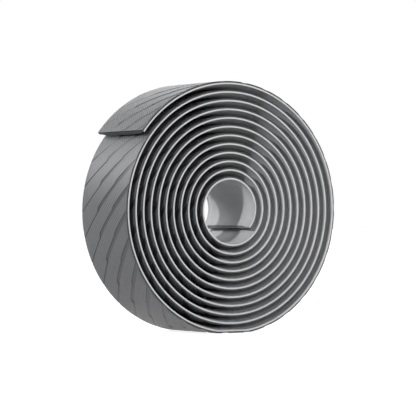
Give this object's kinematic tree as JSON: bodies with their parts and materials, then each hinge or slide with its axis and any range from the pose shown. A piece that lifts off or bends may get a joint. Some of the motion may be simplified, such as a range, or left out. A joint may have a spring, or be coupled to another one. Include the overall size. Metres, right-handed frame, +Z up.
{
  "type": "handlebar tape roll",
  "caption": "Long strip of soft handlebar tape wound flat into an open roll, standing on its rim.",
  "frame": {"origin": "on the floor under the roll's centre, at mid-width, in the plane of the small flat spot that the roll stands on", "axes": "+Y along the roll's axis, away from the side from which the tape runs clockwise inwards; +Z up, from the flat spot towards the roll's centre"},
  "size_m": [0.0859, 0.03, 0.087],
  "materials": {
    "tape": "matt grey skin with a fine grain"
  },
  "bodies": {
    "root": {"tape": "tape"}
  },
  "joints": []
}
